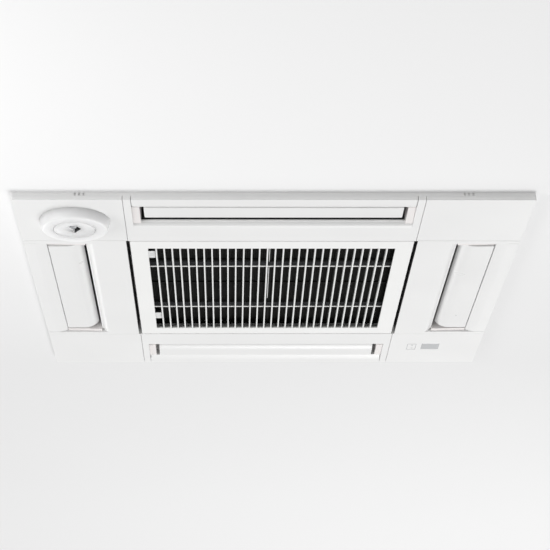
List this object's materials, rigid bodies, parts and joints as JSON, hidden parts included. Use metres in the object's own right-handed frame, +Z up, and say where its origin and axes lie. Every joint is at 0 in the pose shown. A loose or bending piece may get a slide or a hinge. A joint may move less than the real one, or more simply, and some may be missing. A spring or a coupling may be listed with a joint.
{
  "type": "ceiling cassette air conditioner",
  "caption": "Four-way ceiling cassette air conditioner: flat square panel with hinged slotted grille, swinging air vanes and a round sensor, under a steel fan and coil case.",
  "frame": {"origin": "centre of the four hanging-rod slots, in the plane under the hanger brackets", "axes": "+Z up towards the structural ceiling; the panel faces -Z; +X towards the grille's hinge side; -Y towards the side between the sensor's corner and the plain near corner; pipes leave at -X"},
  "size_m": [0.625, 0.625, 0.2863],
  "materials": {
    "panel_white": "satin",
    "vane_white": "satin",
    "block_plastic": "matte",
    "grille_white": "satin",
    "filter_net": "matte",
    "latch_grey": "satin",
    "sensor_white": "satin",
    "lens_black": "gloss",
    "window_grey": "satin",
    "lamp_green": "satin",
    "galvanised": "satin",
    "screw_steel": "satin",
    "foam_white": "matte",
    "foam_black": "matte",
    "fan_grey": "matte",
    "mouth_black": "matte",
    "motor_metal": "satin",
    "rubber_black": "matte",
    "fin_aluminium": "satin",
    "copper": "satin",
    "brass": "satin",
    "pump_white": "satin",
    "hose_grey": "matte",
    "spigot_grey": "satin",
    "board_green": "satin",
    "terminal_black": "matte"
  },
  "bodies": {
    "unit": {"case_top": "galvanised", "case_walls": "galvanised", "case_screws": "screw_steel", "hanger_brackets": "galvanised", "case_liner": "foam_white", "drain_pan": "foam_white", "duct_walls": "foam_white", "bellmouth": "mouth_black", "fan_motor": "motor_metal", "motor_mounts": "rubber_black", "heat_exchanger": "fin_aluminium", "tube_plates": "galvanised", "return_bends": "copper", "gas_pipe": "copper", "liquid_pipe": "copper", "flare_unions": "brass", "piping_cover": "galvanised", "drain_pump": "pump_white", "drain_hose": "hose_grey", "drain_spigot": "spigot_grey", "float_stem": "pump_white", "control_box": "galvanised", "control_box_cover": "galvanised", "control_board": "board_green", "terminal_block": "terminal_black", "cable_bush": "rubber_black", "panel_frame": "panel_white", "corner_cover_sensor": "panel_white", "corner_cover_receiver": "panel_white", "corner_cover_far_left": "panel_white", "corner_cover_near_right": "panel_white", "side_trim_right": "panel_white", "side_trim_far": "panel_white", "side_trim_left": "panel_white", "side_trim_near": "panel_white", "vane_bearing_blocks": "block_plastic", "vane_motors": "motor_metal", "outlet_seals": "foam_black", "panel_screws": "screw_steel", "sensor_ring": "sensor_white", "sensor_motor": "motor_metal", "receiver_window": "window_grey", "indicator_lamps": "lamp_green", "signal_board": "board_green"},
    "vane_right": {"vane_right": "vane_white"},
    "vane_far": {"vane_far": "vane_white"},
    "vane_left": {"vane_left": "vane_white"},
    "vane_near": {"vane_near": "vane_white"},
    "grille": {"intake_grille": "grille_white", "air_filter": "filter_net", "latch_guides": "grille_white"},
    "latch_near": {"latch_near": "latch_grey"},
    "latch_far": {"latch_far": "latch_grey"},
    "sensor_head": {"sensor_head": "sensor_white", "sensor_lens": "lens_black"},
    "fan": {"fan_wheel": "fan_grey", "fan_shroud": "fan_grey", "fan_shaft": "screw_steel"},
    "pump_impeller": {"pump_impeller": "pump_white"},
    "drain_float": {"drain_float": "pump_white"}
  },
  "joints": [
    {"name": "vane_right_swing", "type": "hinge", "parent": "unit", "child": "vane_right", "pos_m": [0.258, 0, -0.1075], "axis": [0, 1, 0], "range_deg": [0, 65]},
    {"name": "vane_far_swing", "type": "hinge", "parent": "unit", "child": "vane_far", "pos_m": [0, 0.258, -0.1075], "axis": [-1, 0, 0], "range_deg": [0, 65]},
    {"name": "vane_left_swing", "type": "hinge", "parent": "unit", "child": "vane_left", "pos_m": [-0.258, 0, -0.1075], "axis": [0, -1, 0], "range_deg": [0, 65]},
    {"name": "vane_near_swing", "type": "hinge", "parent": "unit", "child": "vane_near", "pos_m": [0, -0.258, -0.1075], "axis": [1, 0, 0], "range_deg": [0, 65]},
    {"name": "grille_hinge", "type": "hinge", "parent": "unit", "child": "grille", "pos_m": [0.1775, 0, -0.1267], "axis": [0, -1, 0], "range_deg": [0, 90]},
    {"name": "latch_near_slide", "type": "slide", "parent": "grille", "child": "latch_near", "axis": [1, 0, 0], "range_m": [0, 0.008], "stiffness_N_per_m": 300, "springref_m": -0.004},
    {"name": "latch_far_slide", "type": "slide", "parent": "grille", "child": "latch_far", "axis": [1, 0, 0], "range_m": [0, 0.008], "stiffness_N_per_m": 300, "springref_m": -0.004},
    {"name": "sensor_turn", "type": "hinge", "parent": "unit", "child": "sensor_head", "pos_m": [-0.242, -0.2465, -0.132], "axis": [0, 0, 1], "range_deg": [-175, 175]},
    {"name": "fan_spin", "type": "hinge", "parent": "unit", "child": "fan", "pos_m": [0, 0, 0.018], "axis": [0, 0, 1], "continuous": true},
    {"name": "pump_spin", "type": "hinge", "parent": "unit", "child": "pump_impeller", "pos_m": [-0.195, 0.185, -0.052], "axis": [0, 0, 1], "continuous": true},
    {"name": "float_rise", "type": "slide", "parent": "unit", "child": "drain_float", "axis": [0, 0, 1], "range_m": [0, 0.012]}
  ]
}
